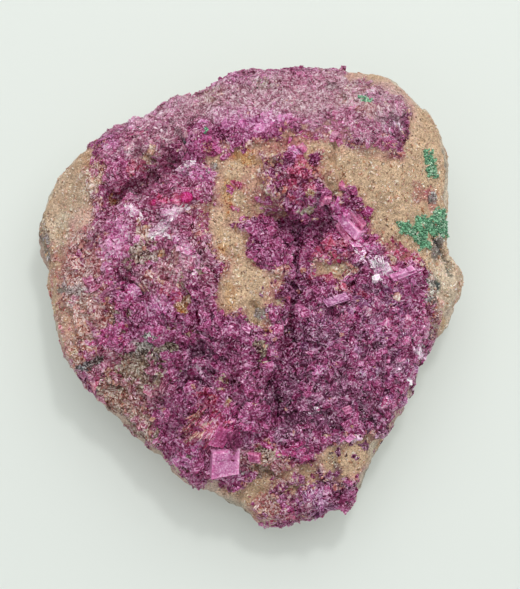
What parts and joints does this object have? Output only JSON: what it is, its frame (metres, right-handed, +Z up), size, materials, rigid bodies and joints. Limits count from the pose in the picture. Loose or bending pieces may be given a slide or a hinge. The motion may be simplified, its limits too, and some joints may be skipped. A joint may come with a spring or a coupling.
{
  "type": "cobaltoan dolomite specimen",
  "caption": "Slab of tan dolostone matrix lying flat, its upper side crusted with raspberry-pink rhombic dolomite crystals and thin coats of green malachite.",
  "frame": {"origin": "under the middle of the specimen's box, on the surface it lies on", "axes": "+Z up from the broken underside to the crusted upper side, +Y towards the broad back edge, +X to the right with the narrow toe nearest the viewer"},
  "size_m": [0.0734, 0.0794, 0.0308],
  "materials": {
    "dolostone": "matte",
    "cobaltoan_dolomite": "satin",
    "malachite": "matte"
  },
  "bodies": {
    "root": {"matrix": "dolostone", "dolomite_crust": "cobaltoan_dolomite", "toe_crust": "cobaltoan_dolomite", "malachite_patch": "malachite", "malachite_streak": "malachite"}
  },
  "joints": []
}
